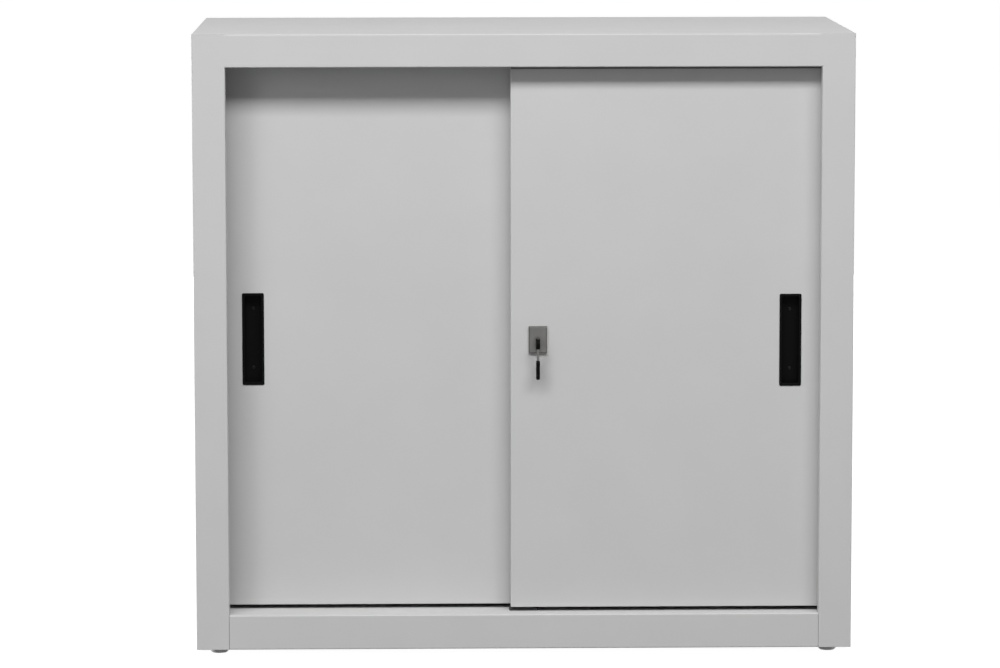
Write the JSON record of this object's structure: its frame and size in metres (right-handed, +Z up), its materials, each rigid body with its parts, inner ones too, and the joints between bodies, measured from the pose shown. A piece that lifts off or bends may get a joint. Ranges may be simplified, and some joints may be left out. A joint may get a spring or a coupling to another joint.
{
  "type": "sliding door cupboard",
  "caption": "Low folded-steel cupboard with two bypass sliding doors hung on rollers, recessed pulls, a cam lock with folding key, adjustable shelves and levelling feet.",
  "frame": {"origin": "on the ground under the middle of the cupboard", "axes": "+X to the right when facing the doors, +Y to the back, +Z up; the front faces -Y"},
  "size_m": [0.9, 0.45, 0.853],
  "materials": {
    "grey_paint": "light grey powder coat, fine satin texture",
    "zinc": "bright zinc plate",
    "nickel": "satin nickel plate",
    "black_plastic": "black, lightly textured",
    "black_steel": "blackened steel",
    "nylon": "natural nylon",
    "rubber": "dark grey rubber",
    "aluminium": "mill finish extrusion"
  },
  "bodies": {
    "carcass": {"left_side_panel": "grey_paint", "right_side_panel": "grey_paint", "top_panel": "grey_paint", "bottom_panel": "grey_paint", "back_panel": "grey_paint", "back_panel_screws": "zinc", "front_track": "zinc", "rear_track": "zinc", "track_end_stops": "rubber", "floor_guide": "black_plastic", "floor_guide_screws": "zinc", "shelf_lower": "grey_paint", "shelf_upper": "grey_paint", "left_shelf_strips": "grey_paint", "right_shelf_strips": "grey_paint", "shelf_clips": "zinc", "corner_plates": "grey_paint", "foot_nuts": "zinc"},
    "foot_front_left": {"foot_pad_front_left": "rubber", "foot_stud_front_left": "zinc"},
    "foot_front_right": {"foot_pad_front_right": "rubber", "foot_stud_front_right": "zinc"},
    "foot_rear_left": {"foot_pad_rear_left": "rubber", "foot_stud_rear_left": "zinc"},
    "foot_rear_right": {"foot_pad_rear_right": "rubber", "foot_stud_rear_right": "zinc"},
    "left_door": {"left_door_skin": "grey_paint", "left_door_stiffener": "grey_paint", "left_door_bottom_channel": "aluminium", "left_door_hangers": "zinc", "left_door_hanger_screws": "zinc", "left_door_axles": "zinc", "left_door_pull": "black_plastic", "left_door_pull_strap": "grey_paint", "left_door_pull_screws": "black_steel", "lock_strike": "zinc"},
    "left_door_left_roller": {"left_door_left_roller": "nylon"},
    "left_door_right_roller": {"left_door_right_roller": "nylon"},
    "right_door": {"right_door_skin": "grey_paint", "right_door_stiffener": "grey_paint", "right_door_bottom_channel": "aluminium", "right_door_hangers": "zinc", "right_door_hanger_screws": "zinc", "right_door_axles": "zinc", "right_door_pull": "black_plastic", "right_door_pull_strap": "grey_paint", "right_door_pull_screws": "black_steel", "lock_housing": "nickel", "lock_retainer": "zinc", "lock_screws": "zinc"},
    "right_door_left_roller": {"right_door_left_roller": "nylon"},
    "right_door_right_roller": {"right_door_right_roller": "nylon"},
    "lock_plug": {"lock_plug": "nickel", "lock_cam": "zinc", "lock_cam_screw": "zinc"},
    "key": {"key_blade": "nickel", "key_pivot_pin": "nickel"},
    "key_head": {"key_knuckle": "black_plastic", "key_tang": "nickel", "key_grip": "black_plastic"}
  },
  "joints": [
    {"name": "left_door_slide", "type": "slide", "parent": "carcass", "child": "left_door", "axis": [1, 0, 0], "range_m": [0, 0.402]},
    {"name": "right_door_slide", "type": "slide", "parent": "carcass", "child": "right_door", "axis": [1, 0, 0], "range_m": [-0.402, 0]},
    {"name": "left_door_left_roller_spin", "type": "hinge", "parent": "left_door", "child": "left_door_left_roller", "pos_m": [-0.395, -0.16475, 0.82875], "axis": [0, 1, 0], "continuous": true},
    {"name": "left_door_right_roller_spin", "type": "hinge", "parent": "left_door", "child": "left_door_right_roller", "pos_m": [-0.007, -0.16475, 0.82875], "axis": [0, 1, 0], "continuous": true},
    {"name": "right_door_left_roller_spin", "type": "hinge", "parent": "right_door", "child": "right_door_left_roller", "pos_m": [0.007, -0.19225, 0.82875], "axis": [0, 1, 0], "continuous": true},
    {"name": "right_door_right_roller_spin", "type": "hinge", "parent": "right_door", "child": "right_door_right_roller", "pos_m": [0.395, -0.19225, 0.82875], "axis": [0, 1, 0], "continuous": true},
    {"name": "lock_turn", "type": "hinge", "parent": "right_door", "child": "lock_plug", "pos_m": [0.0192, -0.205, 0.4284], "axis": [0, 1, 0], "range_deg": [0, 90]},
    {"name": "key_withdraw", "type": "slide", "parent": "lock_plug", "child": "key", "axis": [0, -1, 0], "range_m": [0, 0.026]},
    {"name": "key_head_fold", "type": "hinge", "parent": "key", "child": "key_head", "pos_m": [0.0192, -0.214, 0.4284], "axis": [-1, 0, 0], "range_deg": [0, 90]},
    {"name": "foot_front_left_height", "type": "slide", "parent": "carcass", "child": "foot_front_left", "axis": [0, 0, -1], "range_m": [0, 0.012]},
    {"name": "foot_front_right_height", "type": "slide", "parent": "carcass", "child": "foot_front_right", "axis": [0, 0, -1], "range_m": [0, 0.012]},
    {"name": "foot_rear_left_height", "type": "slide", "parent": "carcass", "child": "foot_rear_left", "axis": [0, 0, -1], "range_m": [0, 0.012]},
    {"name": "foot_rear_right_height", "type": "slide", "parent": "carcass", "child": "foot_rear_right", "axis": [0, 0, -1], "range_m": [0, 0.012]}
  ],
  "couplings": [
    {"joint": "left_door_left_roller_spin", "follows": "left_door_slide", "rad_per_m": 133.33},
    {"joint": "left_door_right_roller_spin", "follows": "left_door_slide", "rad_per_m": 133.33},
    {"joint": "right_door_left_roller_spin", "follows": "right_door_slide", "rad_per_m": 133.33},
    {"joint": "right_door_right_roller_spin", "follows": "right_door_slide", "rad_per_m": 133.33}
  ]
}
